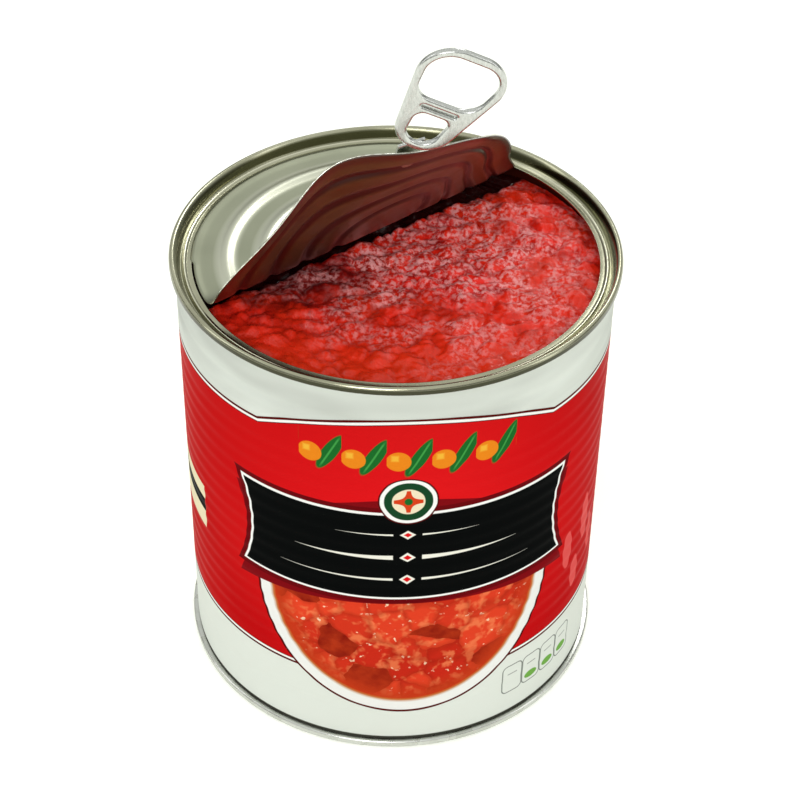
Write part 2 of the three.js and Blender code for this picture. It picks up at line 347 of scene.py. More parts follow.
def round_band(circles, steps):
    """Points of a band stretched round circles, each given as x, y and radius."""
    points = []
    for i in range(steps):
        way = Vector((math.cos(math.tau * i / steps), math.sin(math.tau * i / steps)))
        x, y, r = max(circles, key=lambda c: c[0] * way.x + c[1] * way.y + c[2])
        points.append((x + r * way.x, y + r * way.y))
    return points


corner_x = TAB_WIDTH / 2 - TAB_CORNER_R
corner_y = TAB_LENGTH - TAB_CORNER_R
tab_bands = [
    round_band([(-corner_x, corner_y, TAB_CORNER_R), (corner_x, corner_y, TAB_CORNER_R),
                (0, TAB_NOSE_R, TAB_NOSE_R)], 112),
    round_band([(-corner_x - 1, corner_y + 0.5, 8), (corner_x + 1, corner_y + 0.5, 8),
                (-corner_x - 1.5, corner_y - 4, 6.8), (corner_x + 1.5, corner_y - 4, 6.8)], 88),
    round_band([(-2.6, TAB_NOSE_R + 2.2, 3.2), (2.6, TAB_NOSE_R + 2.2, 3.2),
                (0, TAB_NOSE_R - 1.6, 5.4)], 60),
    round_band([(-5.4, SLOT_Y, 0.75), (5.4, SLOT_Y, 0.75)], 20),
]
outline = bpy.data.curves.new("tab_outline", "CURVE")
outline.dimensions = "2D"
outline.fill_mode = "BOTH"
outline.extrude = (TAB_THICK / 2 - TAB_ROLL) * MM
outline.bevel_depth = TAB_ROLL * MM
outline.bevel_resolution = 4
outline.offset = -TAB_ROLL * MM
for band in tab_bands:
    spline = outline.splines.new("POLY")
    spline.points.add(len(band) - 1)
    for point, (x, y) in zip(spline.points, band):
        point.co = (x * MM, y * MM, 0, 1)
    spline.use_cyclic_u = True
outline_object = bpy.data.objects.new("tab_outline", outline)
bpy.context.scene.collection.objects.link(outline_object)
finished_outline = outline_object.evaluated_get(bpy.context.evaluated_depsgraph_get())
tab_mesh = bpy.data.meshes.new_from_object(finished_outline)
bpy.data.objects.remove(outline_object)
print("tab outline has", len(tab_mesh.vertices), "points")

# %% [markdown]
# The tab is tipped to the right, leaned to the front and turned a little. It could be parented and
# turned as an object, but a matrix that moves its vertices keeps the object itself at the origin. The
# pressed slot has a floor, a small plate inside the thickness of the steel.

# %% Tab in its place
tab_turn = Matrix.Rotation(TAB_TURN, 3, "Z")
tab_side = tab_turn @ Vector((math.cos(TAB_TIP), 0, -math.sin(TAB_TIP)))
tab_up = tab_turn @ Vector((math.sin(TAB_TIP), 0, math.cos(TAB_TIP)))
tab_up.rotate(Matrix.Rotation(TAB_LEAN, 3, tab_side))
tab_matrix = Matrix((tab_side, tab_up, tab_side.cross(tab_up))).transposed().to_4x4()
tab_matrix.translation = TAB_NOSE * MM

tab_bm = bmesh.new()
tab_bm.from_mesh(tab_mesh)
bmesh.ops.remove_doubles(tab_bm, verts=tab_bm.verts[:], dist=0.005 * MM)
bmesh.ops.recalc_face_normals(tab_bm, faces=tab_bm.faces[:])
slot_size = Matrix.Diagonal((12.8 * MM, 2.4 * MM, 0.5 * MM, 1))
slot_floor = Matrix.Translation((0, SLOT_Y * MM, -0.2 * MM)) @ slot_size
bmesh.ops.create_cube(tab_bm, size=1, matrix=slot_floor)
tab_bm.transform(tab_matrix)
pull_tab = finish_piece("pull_tab_ring", tab_bm, 45)
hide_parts("pull_tab")

# %% [markdown]
# The strap is a grid that narrows to a round end under the rivet, and Solidify gives it the thickness
# of the sheet. It points from the rivet to the nose of the tab. The rivet is a spun profile with an
# overhanging head. Both are made flat and carried onto the panel by the same matrix.

# %% Strap and rivet
RIVET_U = -17.0
RIVET_INSET = 9.0
STRAP_WIDTH = 9.0
STRAP_THICK = 0.9
STRAP_BEHIND = 4.5
STRAP_PAST_NOSE = 6.5
rivet_v = math.sqrt(PANEL_R ** 2 - RIVET_U ** 2) - RIVET_INSET
rivet_place, rivet_out = panel_frame(RIVET_U, rivet_v)
to_nose = TAB_NOSE - rivet_place
strap_up = (to_nose - rivet_out * to_nose.dot(rivet_out)).normalized()
rivet_matrix = Matrix((strap_up.cross(rivet_out), strap_up, rivet_out)).transposed().to_4x4()
rivet_matrix.translation = rivet_place * MM
strap_length = to_nose.length + STRAP_PAST_NOSE

strap_bm = bmesh.new()
bmesh.ops.create_grid(strap_bm, x_segments=8, y_segments=16, size=0.5)
bmesh.ops.scale(strap_bm, vec=(STRAP_WIDTH * MM, strap_length * MM, 1), verts=strap_bm.verts[:])
strap_middle = (0, (strap_length / 2 - STRAP_BEHIND) * MM, 2.4 * MM)
bmesh.ops.translate(strap_bm, vec=strap_middle, verts=strap_bm.verts[:])
for vertex in strap_bm.verts:
    below = max(-vertex.co.y / MM, 0) / STRAP_BEHIND
    vertex.co.x *= math.sqrt(max(1 - below ** 2, 0.02))
strap_bm.transform(rivet_matrix)
bmesh.ops.recalc_face_normals(strap_bm, faces=strap_bm.faces[:])
strap = finish_piece("tab_strap", strap_bm)
strap_sheet = strap.modifiers.new("sheet", "SOLIDIFY")
strap_sheet.thickness = STRAP_THICK * MM
strap_sheet.offset = 0
rounded(strap, 0.25)
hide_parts("pull_tab")

rivet_profile = [(0, 0), (2.1, 0), (2.1, 2.9), (3.7, 3.05), (3.6, 3.6), (2.4, 4.05), (0, 4.15)]
rivet_bm = spun(rivet_profile, 40, closed=False)
rivet_bm.transform(rivet_matrix)
rivet = finish_piece("panel_rivet", rivet_bm, 50)
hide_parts("top_end")

# %% [markdown]
# ## Chopped tomatoes
# The pulp is a wet mass of soft pieces between 5 and 20 millimetres, with fine grain on them and
# juice in the dips. Single pieces would take too many faces, so the surface is one spun disc whose
# points are lifted by noise. The size of a smooth noise, without its sign, gives round tops with
# creases between them, which suits soft pieces better than flat cells. Along the fold the level
# drops into a dark crevice. The finest grain is left to the bump of the material.

# %% Wavy surface of pulp
FOOD_R = 74.9
FOOD_LOW_Z = 5.3
FOOD_LEVEL = 161.2
CREVICE_EDGE = 21.5
CREVICE_SLANT = 22


def pulp_height(x, y):
    slow = noise.noise(Vector((x / 26, y / 26, 5.0)))
    pieces = abs(noise.noise(Vector((x / 9.5, y / 8.0, 1.7))))
    crumbs = abs(noise.noise(Vector((x / 4.0, y / 3.4, 3.1))))
    grain = noise.noise(Vector((x / 1.3, y / 1.3, 9.0)))
    along = x * along_fold.x + y * along_fold.y
    across = x * across_fold.x + y * across_fold.y
    crevice = 1 - ease((across + CREVICE_EDGE - along / CREVICE_SLANT) / 4)
    return 1.4 * slow + 4.2 * pieces + 1.8 * crumbs + 0.22 * grain - 3.2 * crevice


pulp_rings = 108
pulp_profile = [(FOOD_R * i / pulp_rings, FOOD_LEVEL) for i in range(pulp_rings + 1)]
pulp_profile += [(FOOD_R, 120), (FOOD_R, 60), (FOOD_R, FOOD_LOW_Z), (40, FOOD_LOW_Z), (0, FOOD_LOW_Z)]
pulp = spun(pulp_profile, 420, closed=False)
for vertex in pulp.verts:
    x, y, z = vertex.co / MM
    if z > FOOD_LEVEL - 1:
        calm = 1 - 0.75 * ease((math.hypot(x, y) - 69) / 5)
        vertex.co.z = (FOOD_LEVEL + calm * pulp_height(x, y)) * MM
chopped_tomatoes = finish_piece("chopped_tomato_pulp", pulp, 80)
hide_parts("chopped_tomatoes")

# %% [markdown]
# ## Writing shader maths as Python
# A pattern is a formula of the place on the piece. Wiring Math nodes one by one hides that formula,
# so a small class wraps a socket and lets Python's own operators add the nodes.


# %% A socket that does arithmetic
class Paint:
    def __init__(self, tree, socket):
        self.tree = tree
        self.socket = socket

    def node(self, kind, settings=None, values=None, out=0):
        made = self.tree.nodes.new(kind)
        for name, setting in (settings or {}).items():
            setattr(made, name, setting)
        for name, value in (values or {}).items():
            if isinstance(value, Paint):
                self.tree.links.new(value.socket, made.inputs[name])
            else:
                made.inputs[name].default_value = value
        return Paint(self.tree, made.outputs[out])

    def maths(self, operation, first, second=0.0):
        return self.node("ShaderNodeMath", {"operation": operation}, {0: first, 1: second})

    def __add__(self, other):
        return self.maths("ADD", self, other)

    __radd__ = __add__

    def __sub__(self, other):
        return self.maths("SUBTRACT", self, other)

    def __rsub__(self, other):
        return self.maths("SUBTRACT", other, self)

    def __mul__(self, other):
        return self.maths("MULTIPLY", self, other)

    __rmul__ = __mul__

    def __truediv__(self, other):
        return self.maths("DIVIDE", self, other)

    def __neg__(self):
        return self * -1.0

    def size(self):
        return self.maths("ABSOLUTE", self)

    def least(self, other):
        return self.maths("MINIMUM", self, other)

    def most(self, other):
        return self.maths("MAXIMUM", self, other)

    def below(self, edge, soft=0.25):
        """1 where this value is under edge, fading out over soft."""
        steps = {0: self, 1: edge - soft / 2, 2: edge + soft / 2, 3: 1.0, 4: 0.0}
        return self.node("ShaderNodeMapRange", {"clamp": True}, steps)

    def above(self, edge, soft=0.25):
        return 1 - self.below(edge, soft)

    def mix(self, mask, other):
        """This colour, with other where mask is 1."""
        return self.node("ShaderNodeMix", {"data_type": "RGBA"}, {0: mask, 6: self, 7: other}, out=2)

    def colour(self, rgb):
        made = self.node("ShaderNodeRGB")
        made.socket.default_value = (*rgb, 1)
        return made

    def coloured(self, mask, rgb):
        """This colour, with a plain colour where mask is 1."""
        return self.mix(mask, self.colour(rgb))


print("shader helper is ready")

# %% [markdown]
# ## A material and its inputs
# Every finish starts in the same way: a Principled shader, and the place on the piece in millimetres.
# Object coordinates are used, so that a pattern stays fixed to its piece.


# %% Start of a finish
def new_finish(name, roughness, metallic, coat=0.0, coat_roughness=0.1):
    material = bpy.data.materials.new(name)
    material.use_nodes = True
    tree = material.node_tree
    shader = tree.nodes["Principled BSDF"]
    shader.inputs["Roughness"].default_value = roughness
    shader.inputs["Metallic"].default_value = metallic
    shader.inputs["Coat Weight"].default_value = coat
    shader.inputs["Coat Roughness"].default_value = coat_roughness
    place = Paint(tree, tree.nodes.new("ShaderNodeTexCoord").outputs["Object"])
    place = place.node("ShaderNodeVectorMath", {"operation": "SCALE"}, {0: place, 3: 1 / MM})
    return material, shader, place


def split(place):
    tree = place.tree
    parts = tree.nodes.new("ShaderNodeSeparateXYZ")
    tree.links.new(place.socket, parts.inputs[0])
    return [Paint(tree, parts.outputs[i]) for i in range(3)]


def reach(a, b):
    """Distance that goes a one way and b the other."""
    return a.maths("SQRT", a * a + b * b)


def attribute_of(place, name):
    settings = {"attribute_type": "GEOMETRY", "attribute_name": name}
    return place.node("ShaderNodeAttribute", settings, out=2)


def stretched(place, scale, turn=0.0):
    """The place drawn out along the axes that have a small scale."""
    values = {"Vector": place, "Rotation": (0, 0, turn), "Scale": scale}
    return place.node("ShaderNodeMapping", None, values)


def noise_of(place, size, detail=3.0, roughness=0.5, out=0):
    values = {"Vector": place, "Scale": 1 / size, "Detail": detail, "Roughness": roughness}
    return place.node("ShaderNodeTexNoise", None, values, out)


def cells_of(place, size, feature, out=0):
    values = {"Vector": place, "Scale": 1 / size}
    return place.node("ShaderNodeTexVoronoi", {"feature": feature}, values, out)


def give(shader, name, paint):
    shader.id_data.links.new(paint.socket, shader.inputs[name])


def bumped(shader, height, distance, strength=1.0):
    values = {"Strength": strength, "Distance": distance * MM, "Height": height}
    give(shader, "Normal", height.node("ShaderNodeBump", None, values))


print("finish helpers are ready")

# %% [markdown]
# ## The print
# The wall is printed flat before it is rolled, so the pattern is drawn in flat coordinates: the way
# round the wall in millimetres, measured from the middle of the front, and the height. Each shape is
# a distance that is below zero inside it. Lettering has no place on this tin, so the banner and the
# field above it carry plain rules, leaves and fruit. The ink mirrors very little, or its edges would
# turn pink, so its specular level is close to zero.

# %% Print coordinates
print_finish, print_shader, wall_place = new_finish("printed_enamel", 0.3, 0.0)
print_shader.inputs["Specular IOR Level"].default_value = 0.003
wall_x, wall_y, level = split(wall_place)
around = wall_x.maths("ARCTAN2", wall_x, -wall_y) * WALL_R


def from_point(x, z):
    """Distance from a point of the print."""
    return reach(around - x, level - z)


def oval(x, z, wide, high):
    """1 at the rim of an oval, less inside."""
    return reach((around - x) / wide, (level - z) / high)


WHITE = (0.70, 0.735, 0.685)
GREY_SHEEN = (0.47, 0.49, 0.455)
PALE_LINE = (0.86, 0.86, 0.84)
RULE_CREAM = (0.80, 0.78, 0.70)
MAROON = (0.085, 0.004, 0.004)
RED = (0.66, 0.007, 0.010)
BLACK = (0.003, 0.0035, 0.0035)
DARK_RED = (0.20, 0.004, 0.007)
CREAM = (0.80, 0.70, 0.50)
LEAF = (0.012, 0.13, 0.022)
ORANGE = (0.75, 0.22, 0.012)
print("print runs round for", round(math.tau * WALL_R), "mm")

# %% [markdown]
# ### Red field
# The red field runs right round the tin. Its top edge is level at the sides and rises to a flat arch
# over the front, which is a part of a large circle. A dark line and a white line run along its edges.
# The pale band over it has a painted grey sheen: grey streaks, drawn out round the wall, are a
# painted reflection. The red is painted darker towards the sides as painted shade, and lighter in
# broad patches as painted light.

# %% Red field with its border lines
FIELD_LOW = 36.4
FIELD_HIGH = 144.0
ARCH_HALF = 53.5
ARCH_RISE = 11.5
arch_r = (ARCH_HALF ** 2 + ARCH_RISE ** 2) / (2 * ARCH_RISE)
arch = from_point(0, FIELD_HIGH + ARCH_RISE - arch_r) - arch_r
field = (level - FIELD_HIGH).least(arch).most(FIELD_LOW - level)
# Painted light and shade: glow gives broad lighter red patches, and the red is darker away from the
# front.
glow = noise_of(wall_place, 60, 1.0).below(0.5, 0.8)
middle = from_point(0, 100).below(58, 60)
red = around.colour((0.43, 0.0015, 0.003)).coloured(middle, RED)
red = red.coloured(glow * 0.35, (0.72, 0.018, 0.016))
# Painted reflection: grey streaks in the pale band above the red.
sheen = noise_of(stretched(wall_place, (0.35, 0.35, 1.4)), 24, 2.0)
paint = around.colour(WHITE)
paint = paint.coloured(sheen.above(0.5, 0.35) * level.above(125, 10), GREY_SHEEN)
paint = paint.coloured(field.below(2.0), MAROON)
paint = paint.coloured(field.below(1.0), (0.85, 0.85, 0.82))
paint = paint.coloured(field.below(0.0), MAROON)
paint = paint.mix(field.below(-0.35), red)
print("arch radius:", round(arch_r, 1), "mm")

# %% [markdown]
# ### Bowl
# Under the banner is a plain bowl of chopped tomatoes, seen from above. The dark outline, the white
# rim with its shade, and the juice are rings of one circle. The pieces in it are Voronoi cells: each
# gets its own red, its edges sink halfway into the juice, a few lie below it, and some carry a pale
# wet light. The place is shifted by noise first, so that the cells aren't straight-edged.

# %% Bowl in the print
BOWL_Z = 74.5
BOWL_R = 56.7
JUICE_R = 49.9
PIECE_SIZE = 12.0
bowl = from_point(0, BOWL_Z)
cells = around.node("ShaderNodeCombineXYZ", None, {0: around, 1: level, 2: 0.0})
drift = noise_of(cells, 9, 2.0, out="Color")
drift = drift.node("ShaderNodeVectorMath", {"operation": "SCALE"}, {0: drift, 3: 5.0})
cell_place = cells.node("ShaderNodeVectorMath", {"operation": "ADD"}, {0: cells, 1: drift})
piece_edge = cells_of(cell_place, PIECE_SIZE, "DISTANCE_TO_EDGE")
tint = split(cells_of(cell_place, PIECE_SIZE, "F1", "Color"))[0]
juice = around.colour((0.22, 0.009, 0.004))
juice = juice.coloured(noise_of(cells, 6).above(0.5, 0.4), (0.42, 0.034, 0.009))
flesh = around.colour((0.50, 0.017, 0.008)).coloured(tint.above(0.5, 0.7), (0.72, 0.055, 0.020))
slope_light = noise_of(cell_place, 4.5, 2.0)
flesh = flesh.coloured(slope_light.above(0.58, 0.14) * 0.7, (0.82, 0.21, 0.08))
flesh = flesh.coloured(noise_of(cells, 3.0, 2.0).above(0.68, 0.05), (0.88, 0.62, 0.42))
whole = (piece_edge.above(0.05, 0.16) * 0.55 + 0.45) * tint.above(0.18, 0.1)
food_print = juice.mix(whole, flesh)
food_print = food_print.coloured(bowl.above(45, 9), (0.50, 0.040, 0.010))
shown = level.below(96)
paint = paint.coloured(bowl.below(BOWL_R) * shown, MAROON)
paint = paint.coloured(bowl.below(BOWL_R - 1) * shown, (0.80, 0.80, 0.78))
paint = paint.coloured(bowl.below(JUICE_R + 1, 1.4) * shown, (0.52, 0.22, 0.06))
paint = paint.mix(bowl.below(JUICE_R, 1.4) * shown, food_print)
print("bowl is", round(2 * BOWL_R), "mm wide on the wall")

# %% [markdown]
# ### Banner and its ornament
# A black banner with hollow ends crosses the front. It has a white line round it, a dark border, a
# shadow that falls lower towards the corners, and a low dome behind its top edge. Bare black would
# look unfinished, so it carries three cream rules that thin out towards their ends, with a diamond in
# the middle of each.

# %% Banner
BANNER_MIDDLE = 96.2
BANNER_HALF_HIGH = 19.3
BANNER_HALF_WIDE = 57.6
BANNER_HOLLOW = 4.0


def banner_at(drop, margin):
    """Distance from the banner's edge, with the banner lowered by drop and grown by margin."""
    height = level - (BANNER_MIDDLE - drop)
    side = height / BANNER_HALF_HIGH
    ends = around.size() - (BANNER_HALF_WIDE + BANNER_HOLLOW * side * side)
    return ends.most(height.size() - BANNER_HALF_HIGH) - margin


banner = banner_at(0, 0)
DOME_HALF = 30.0
DOME_RISE = 5.5
dome_r = (DOME_HALF ** 2 + DOME_RISE ** 2) / (2 * DOME_RISE)
dome = from_point(0, BANNER_MIDDLE + BANNER_HALF_HIGH + DOME_RISE - dome_r)
shadow_drop = around * around / 820 + 0.8
paint = paint.coloured(banner_at(shadow_drop, 2.6).below(0.0), DARK_RED)
paint = paint.coloured(dome.below(dome_r + 1.5) * level.above(100), DARK_RED)
paint = paint.coloured(banner.below(3.2), (0.13, 0.003, 0.005))
paint = paint.coloured(banner.below(1.0), PALE_LINE)
paint = paint.coloured(banner.below(0.0), BLACK)
from_middle = around.size()
for rule_z, rule_half, rule_wide in ((106.5, 25.0, 0.55), (96.0, 40.0, 1.1), (85.5, 46.0, 0.55)):
    taper = (1 - from_middle / rule_half).most(0.0)
    rule = (level - rule_z).size() - rule_wide * taper
    drawn = rule.below(0.0, 0.2) * from_middle.above(5.0) * from_middle.below(rule_half)
    paint = paint.coloured(drawn, RULE_CREAM)
    diamond = from_middle + (level - rule_z).size() * 1.3
    paint = paint.coloured(diamond.below(2.8), RULE_CREAM)
    paint = paint.coloured(diamond.below(1.5), RED)
print("banner half width:", BANNER_HALF_WIDE + BANNER_HOLLOW)

# %% [markdown]
# ### Leaves, fruit and small panels
# A row of green leaves and orange fruit fills the arch. A plain green disc with a flower of four
# petals sits on top of the banner. A striped panel and four seed shapes at the sides, and a row of
# small outlined boxes near the foot, keep the rhythm of a food label.

# %% Ornaments
GARLAND_Z = 141.0
GARLAND_HALF = 37.5
GARLAND_STEP = 15.0
repeat = {0: around, 1: GARLAND_STEP / 2, 2: -GARLAND_STEP / 2}
turn_in = around.node("ShaderNodeMath", {"operation": "WRAP"}, repeat)
rise = level - GARLAND_Z
leaf_a = (turn_in - 3.4 - rise * 0.5) / 2.9
leaf_b = rise / 8.0
leaf = reach(leaf_a, leaf_b)
fruit_a = turn_in + 3.6
fruit = reach(fruit_a, rise + 1.5)
row = around.size().below(GARLAND_HALF)
paint = paint.coloured(leaf.below(1.0, 0.1) * row, LEAF)
vein = leaf_a.size().below(0.12, 0.1) * leaf_b.size().below(0.8)
paint = paint.coloured(vein * row, (0.05, 0.30, 0.06))
paint = paint.coloured(fruit.below(4.2) * row, ORANGE)
glint = (fruit_a + 1.2).size().most(rise.size()).below(1.2, 0.8)
paint = paint.coloured(glint * row, (0.80, 0.42, 0.04))

DISC_Z = 121.7
disc_d = from_point(0, DISC_Z)
crossed = (around * (level - DISC_Z)).size() + 0.0001
petal = around.maths("SQRT", crossed) * 2.2 - disc_d * 0.1
paint = paint.coloured(disc_d.below(10.3), MAROON)
paint = paint.coloured(disc_d.below(9.7), PALE_LINE)
paint = paint.coloured(disc_d.below(8.3), (0.010, 0.055, 0.020))
paint = paint.coloured(disc_d.below(5.6), CREAM)
paint = paint.coloured(disc_d.below(5.0) * petal.below(3.6, 0.4), (0.62, 0.05, 0.012))
paint = paint.coloured(disc_d.below(1.4), LEAF)

side_panel = ((around + 118).size() - 30).most((level - 81).size() - 10)
paint = paint.coloured(side_panel.below(0.0), (0.78, 0.70, 0.48))
paint = paint.coloured(side_panel.below(0.0) * (level - 82).size().below(3.0), BLACK)
for seed in ((70, 68, 3.0, 9.0), (77, 52, 3.0, 8.0), (84, 74, 3.4, 11.0), (92, 60, 3.0, 9.0)):
    paint = paint.coloured(oval(*seed).below(1.0, 0.1), (0.70, 0.085, 0.08))

BOX_COUNT = 4
BOX_FIRST = 43.0
BOX_STEP = 9.4
BOX_WIDE = 9.0
BOX_HIGH = 14.0
BOX_Z = 21
BOX_CORNER_R = 2.2
for i in range(BOX_COUNT):
    box_x = BOX_FIRST + i * BOX_STEP
    from_box = (around - box_x).size()
    corner_a = (from_box - BOX_WIDE / 2 + BOX_CORNER_R).most(0.0)
    corner_b = ((level - BOX_Z).size() - BOX_HIGH / 2 + BOX_CORNER_R).most(0.0)
    box_edge = reach(corner_a, corner_b) - BOX_CORNER_R
    paint = paint.coloured(box_edge.size().below(0.25, 0.2), (0.20, 0.22, 0.20))
    if i:
        paint = paint.coloured(oval(box_x, 17.2, 3.2, 1.7).below(1.0, 0.1), (0.16, 0.38, 0.07))
    dash = from_box.below(2.2) * (level - 23.5).size().below(0.25, 0.2)
    paint = paint.coloured(dash, (0.30, 0.32, 0.30))
print("ornaments are in place")

# %% [markdown]
# ### Bare weld strip, painted shade and gloss
# The wall is welded down the back, and the print stops on both sides of the weld. The edges under
# the seams are painted almost black, a painted shade, and the inside of the wall is painted a dark
# red-brown. Fine noise in the roughness keeps the enamel from looking like plastic.

# %% Finished print
weld = math.pi * WALL_R - around.size()
paint = paint.coloured(weld.below(3.0), (0.52, 0.53, 0.50))
paint = paint.coloured(weld.below(0.7), (0.22, 0.22, 0.20))
wall_r = reach(wall_x, wall_y)
# Painted shade: the wall's edges under the top and bottom seams are made almost black.
paint = paint.coloured(level.above(167.9), (0.02, 0.02, 0.015))
paint = paint.coloured(level.below(4.4), (0.05, 0.05, 0.04))
# The inside of the wall is painted a dark red-brown.
paint = paint.coloured(wall_r.below(76.0, 0.1), (0.045, 0.006, 0.003))
give(print_shader, "Base Color", paint)
give(print_shader, "Roughness", 0.26 + noise_of(wall_place, 12, 3.0) * 0.16)
bumped(print_shader, noise_of(wall_place, 7, 2.0), 0.05, 0.5)
printed_wall.data.materials.append(print_finish)
print("print nodes:", len(print_finish.node_tree.nodes))

# %% [markdown]
# ## Lacquered steel
# The ring and the outside of the panel are tinplate under a clear gold lacquer, which gives an olive
# tone. It is metal, so its look comes from what it mirrors. The outer side of the seam is painted dark
# as a painted reflection, the groove is painted dark as painted shade, and a pale line on the inner
# bead is a painted highlight. The pressed beads of the panel are painted as paler bands, painted
# highlights where light runs along them, and fine rolling lines run across it. The beads are found by
# an attribute that the flat disc kept for every vertex, so the bands follow them round the bend.

# %% Lacquer for the ring and the outside of the panel
ring_finish, ring_shader, ring_place = new_finish(
    "gold_lacquer_ring", 0.22, 1.0, coat=0.2, coat_roughness=0.08)
patch = noise_of(ring_place, 16, 2.0)
ring_x, ring_y, ring_z = split(ring_place)
ring_r = reach(ring_x, ring_y)
ring_tone = ring_place.colour((0.36, 0.355, 0.245))
ring_tone = ring_tone.coloured(patch.above(0.5, 0.5), (0.47, 0.465, 0.34))
# Painted reflection and shade: the outer side of the seam is made dark, a dark line is painted in the
# groove, and a pale line on the inner bead is a painted highlight.
painted_dark_outer_side = ring_r.above(78.1, 0.5) * ring_z.below(171.2, 0.8)
ring_tone = ring_tone.coloured(painted_dark_outer_side, (0.050, 0.050, 0.028))
ring_tone = ring_tone.coloured((ring_r - 75.6).size().below(0.7, 0.5), (0.10, 0.098, 0.048))
ring_tone = ring_tone.coloured((ring_r - 73.4).size().below(0.5, 0.4), (0.66, 0.65, 0.50))
give(ring_shader, "Base Color", ring_tone)
give(ring_shader, "Roughness", 0.16 + patch * 0.12)
top_ring.data.materials.append(ring_finish)


def from_bead(flat_r):
    """Distance from the crest of the nearest bead."""
    nearest = (flat_r - PANEL_BEADS[0]).size()
    for centre in PANEL_BEADS[1:]:
        nearest = nearest.least((flat_r - centre).size())
    return nearest


panel_finish, panel_shader, panel_place = new_finish(
    "lacquered_panel_outside", 0.3, 1.0, coat=0.25, coat_roughness=0.15)
panel_patch = noise_of(panel_place, 22, 2.0)
lines = noise_of(stretched(panel_place, (0.05, 1.6, 0.05), 0.5), 0.8, 2.0)
# Painted highlight: the pressed beads are made paler, standing for the light that runs along them.
painted_bead_highlight = from_bead(attribute_of(panel_place, "flat_radius")).below(3.4, 2.6)
panel_tone = panel_place.colour((0.30, 0.315, 0.225))
panel_tone = panel_tone.coloured(panel_patch.above(0.5, 0.6), (0.37, 0.385, 0.28))
panel_tone = panel_tone.coloured(painted_bead_highlight * 0.8, (0.66, 0.67, 0.55))
give(panel_shader, "Base Color", panel_tone)
give(panel_shader, "Roughness", 0.28 + panel_patch * 0.10 + lines * 0.06)
bumped(panel_shader, lines, 0.01, 0.3)
print("lacquer is ready")

# %% [markdown]
# The under side of the panel carries an inner lacquer that the tomatoes have stained brown and left
# wet. It is dark, with a darker tone in the beads and a broken gloss where juice clings. Towards the
# fold it is painted darker still, a painted shade where the panel hangs over the pulp.

# %% Stained under side and cut edge
stain_finish, stain_shader, stain_place = new_finish(
    "stained_and_shaded_under_side", 0.3, 0.0, coat=0.25, coat_roughness=0.12)
smear = noise_of(stretched(stain_place, (0.35, 1.0, 1.0), 0.6), 7, 4.0, 0.6)
stain_and_shade = stain_place.colour((0.040, 0.016, 0.004))
stain_and_shade = stain_and_shade.coloured(smear.above(0.44, 0.4), (0.068, 0.030, 0.008))
drops = noise_of(stain_place, 3.0, 3.0).above(0.72, 0.05)
stain_and_shade = stain_and_shade.coloured(drops, (0.16, 0.012, 0.006))
stain_r = attribute_of(stain_place, "flat_radius")
stain_v = attribute_of(stain_place, "fold_distance")
stain_and_shade = stain_and_shade.coloured(from_bead(stain_r).below(2.4, 1.2) * 0.95, (0.020, 0.0012, 0.0008))
stain_and_shade = stain_and_shade.coloured(stain_r.above(66.0, 2.5) * 0.7, (0.045, 0.004, 0.002))
# Painted shade: darker towards the fold, where the panel hangs low over the pulp.
stain_and_shade = stain_and_shade.coloured(stain_v.below(15.0, 22.0) * 0.85, (0.024, 0.0015, 0.001))
give(stain_shader, "Base Color", stain_and_shade)
give(stain_shader, "Roughness", 0.22 + smear * 0.25)
bumped(stain_shader, smear, 0.08, 0.5)

edge_finish, edge_shader, edge_place = new_finish("cut_edge", 0.25, 1.0)
edge_tone = edge_place.colour((0.80, 0.80, 0.72))
edge_tone = edge_tone.coloured(noise_of(edge_place, 2.0).above(0.55, 0.1), (0.55, 0.54, 0.45))
give(edge_shader, "Base Color", edge_tone)
for finish in (panel_finish, stain_finish, edge_finish):
    peeled_panel.data.materials.append(finish)
rivet.data.materials.append(panel_finish)
print("panel has", len(peeled_panel.data.materials), "finishes")

# %% [markdown]
# ## Bright steel
# The tab is bare bright steel with drawn edges, and the bottom is plain tinplate, which shows faint
# crystals. Both are metal with small changes of roughness.

# %% Tab and bottom finishes
tab_finish, tab_shader, tab_place = new_finish("bright_tab_steel", 0.22, 1.0)
tab_grain = noise_of(stretched(tab_place, (2.2, 2.2, 0.25)), 1.0, 3.0)
tab_tone = tab_place.colour((0.50, 0.51, 0.49)).coloured(tab_grain.above(0.5, 0.4), (0.66, 0.67, 0.65))
give(tab_shader, "Base Color", tab_tone)
give(tab_shader, "Roughness", 0.17 + tab_grain * 0.16)
bumped(tab_shader, tab_grain, 0.03, 0.4)
pull_tab.data.materials.append(tab_finish)
strap.data.materials.append(tab_finish)

plate_finish, plate_shader, plate_place = new_finish("tinplate", 0.3, 1.0)
crystal_tint = split(cells_of(plate_place, 4.0, "F1", "Color"))[0]
plate_tone = plate_place.colour((0.52, 0.53, 0.49)).coloured(crystal_tint, (0.62, 0.63, 0.60))
give(plate_shader, "Base Color", plate_tone)
give(plate_shader, "Roughness", 0.24 + crystal_tint * 0.08)
bottom_end.data.materials.append(plate_finish)
print("bright steel is ready")

# %% [markdown]
# ## Wet pulp
# The pulp is red and more orange towards the front. Pink specks of shredded flesh, gathered in a
# patch behind the middle, are partly the flesh's own colour and partly painted highlight where they
# catch the light. It is painted darker at the left as painted shade, and painted nearly black as
# shade in the crevice under the lid, where a thin painted highlight stands for a shining wet line.
# Its wet skin gives small highlights, so a coat lies over a rough base and the bump is fine and steep.

